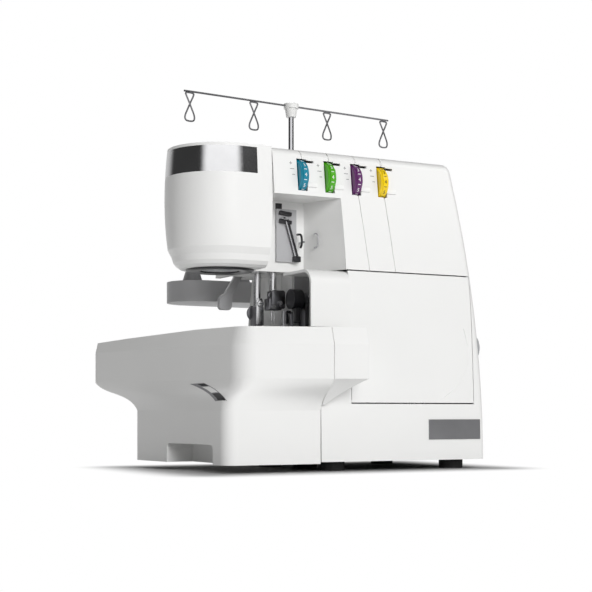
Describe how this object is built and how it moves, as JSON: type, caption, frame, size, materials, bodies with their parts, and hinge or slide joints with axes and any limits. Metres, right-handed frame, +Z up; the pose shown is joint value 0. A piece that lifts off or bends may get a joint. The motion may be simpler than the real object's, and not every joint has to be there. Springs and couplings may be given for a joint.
{
  "type": "serger overlock machine",
  "caption": "Overlock sewing machine with a column body, overhanging head, slide-on bed table, looper door, coloured tension dials and a telescopic thread guide pole.",
  "frame": {"origin": "on the table under the machine, in the plane of the foot undersides", "axes": "+X to the operator's right, +Y to the rear, +Z up"},
  "size_m": [0.3135, 0.274, 0.3531],
  "materials": {
    "shell": "smooth semi-gloss white",
    "bed": "smooth semi-gloss white",
    "pan": "plain sheet",
    "rubber": "matt",
    "panel_grey": "matt light grey",
    "steel": "ground steel",
    "bright_bar": "bright plated",
    "casting": "cast",
    "black_plastic": "satin black",
    "grey_plastic": "satin grey",
    "lens": "frosted clear",
    "motor": "painted steel can",
    "belt": "matt",
    "teal": "satin teal",
    "green": "satin green",
    "purple": "satin purple",
    "yellow": "satin yellow",
    "felt": "felt",
    "badge": "bare satin plate"
  },
  "bodies": {
    "machine": {"front_cover": "shell", "rear_cover": "shell", "lower_cover": "shell", "base_pan": "pan", "rubber_feet": "rubber", "knife_hood": "shell", "inner_panel": "panel_grey", "lower_knife": "steel", "head_cover": "shell", "chrome_band": "bright_bar", "lamp_lens": "lens", "free_arm": "casting", "needle_plate": "steel", "bar_bushes": "steel", "head_bracket": "casting", "lever_pin": "steel", "main_frame": "casting", "shaft_bearings": "steel", "motor": "motor", "drive_belt": "belt", "tension_carrier": "grey_plastic", "tension_discs": "steel", "spool_stand": "grey_plastic", "spool_pins": "grey_plastic", "spool_holders": "grey_plastic", "spool_felts": "felt", "pole_tube": "bright_bar", "guide_plate": "panel_grey", "niche_guides": "steel", "badge_plate": "badge", "power_inlet": "black_plastic"},
    "shaft": {"main_shaft": "steel", "handwheel": "grey_plastic", "shaft_pulley": "grey_plastic"},
    "motor_rotor": {"motor_pulley": "grey_plastic"},
    "needle_set": {"needle_bar": "bright_bar", "needle_clamp": "steel", "needles": "steel", "needle_screws": "steel"},
    "presser": {"presser_bar": "bright_bar", "presser_foot": "steel"},
    "lever": {"presser_lever": "grey_plastic"},
    "dial_1": {"left_needle_dial": "teal"},
    "dial_2": {"right_needle_dial": "green"},
    "dial_3": {"upper_looper_dial": "purple"},
    "dial_4": {"lower_looper_dial": "yellow"},
    "door": {"looper_cover": "shell"},
    "bed": {"bed_table": "bed"},
    "antenna": {"pole_rod": "bright_bar", "pole_cap": "shell", "guide_bar": "bright_bar", "thread_hooks": "bright_bar"},
    "knife": {"upper_knife": "steel", "knife_knob": "black_plastic"},
    "looper_a": {"lower_looper": "steel"},
    "looper_b": {"upper_looper": "steel"},
    "feed": {"feed_dogs": "steel"},
    "switch": {"power_switch": "black_plastic"},
    "stitch": {"stitch_dial": "grey_plastic"}
  },
  "joints": [
    {"name": "handwheel_spin", "type": "hinge", "parent": "machine", "child": "shaft", "pos_m": [0.1411, -0.012, 0.088], "axis": [1, 0, 0], "continuous": true},
    {"name": "motor_spin", "type": "hinge", "parent": "machine", "child": "motor_rotor", "pos_m": [0.106, 0.034, 0.066], "axis": [1, 0, 0], "continuous": true},
    {"name": "needle_bar_slide", "type": "slide", "parent": "machine", "child": "needle_set", "axis": [0, 0, 1], "range_m": [-0.015, 0.008]},
    {"name": "presser_lever_lift", "type": "hinge", "parent": "machine", "child": "lever", "pos_m": [-0.06, 0.03, 0.196], "axis": [1, 0, 0], "range_deg": [0, 26]},
    {"name": "presser_bar_slide", "type": "slide", "parent": "machine", "child": "presser", "axis": [0, 0, 1], "range_m": [0, 0.006]},
    {"name": "left_needle_dial_turn", "type": "hinge", "parent": "machine", "child": "dial_1", "pos_m": [-0.049, -0.07022, 0.257], "axis": [1, 0, 0], "range_deg": [-150, 150]},
    {"name": "right_needle_dial_turn", "type": "hinge", "parent": "machine", "child": "dial_2", "pos_m": [-0.022, -0.07022, 0.257], "axis": [1, 0, 0], "range_deg": [-150, 150]},
    {"name": "upper_looper_dial_turn", "type": "hinge", "parent": "machine", "child": "dial_3", "pos_m": [0.005, -0.07022, 0.257], "axis": [1, 0, 0], "range_deg": [-150, 150]},
    {"name": "lower_looper_dial_turn", "type": "hinge", "parent": "machine", "child": "dial_4", "pos_m": [0.032, -0.07022, 0.257], "axis": [1, 0, 0], "range_deg": [-150, 150]},
    {"name": "looper_cover_swing", "type": "hinge", "parent": "machine", "child": "door", "pos_m": [0.062, -0.09269, 0.06095], "axis": [1, 0, 0], "range_deg": [0, 75]},
    {"name": "bed_table_slide", "type": "slide", "parent": "machine", "child": "bed", "axis": [-1, 0, 0], "range_m": [0, 0.115]},
    {"name": "pole_slide", "type": "slide", "parent": "machine", "child": "antenna", "axis": [0, 0, 1], "range_m": [-0.043, 0]},
    {"name": "upper_knife_park", "type": "hinge", "parent": "machine", "child": "knife", "pos_m": [-0.02, -0.05, 0.152], "axis": [1, 0, 0], "range_deg": [-88, 0]},
    {"name": "lower_looper_rock", "type": "hinge", "parent": "machine", "child": "looper_a", "pos_m": [0.014, -0.045, 0.072], "axis": [0, 1, 0], "range_deg": [-12, 12]},
    {"name": "upper_looper_rock", "type": "hinge", "parent": "machine", "child": "looper_b", "pos_m": [0.038, -0.045, 0.096], "axis": [0, 1, 0], "range_deg": [-12, 12]},
    {"name": "feed_dog_slide", "type": "slide", "parent": "machine", "child": "feed", "axis": [0, 1, 0], "range_m": [-0.004, 0.004]},
    {"name": "power_switch_rock", "type": "hinge", "parent": "machine", "child": "switch", "pos_m": [0.1332, 0.036, 0.054], "axis": [0, 1, 0], "range_deg": [-12, 12]},
    {"name": "stitch_dial_turn", "type": "hinge", "parent": "machine", "child": "stitch", "pos_m": [0.1395, -0.058, 0.112], "axis": [1, 0, 0], "range_deg": [-135, 135]}
  ],
  "couplings": [
    {"joint": "motor_spin", "follows": "handwheel_spin", "ratio": 3.3333},
    {"joint": "presser_lever_lift", "follows": "presser_bar_slide", "rad_per_m": 75.629}
  ]
}
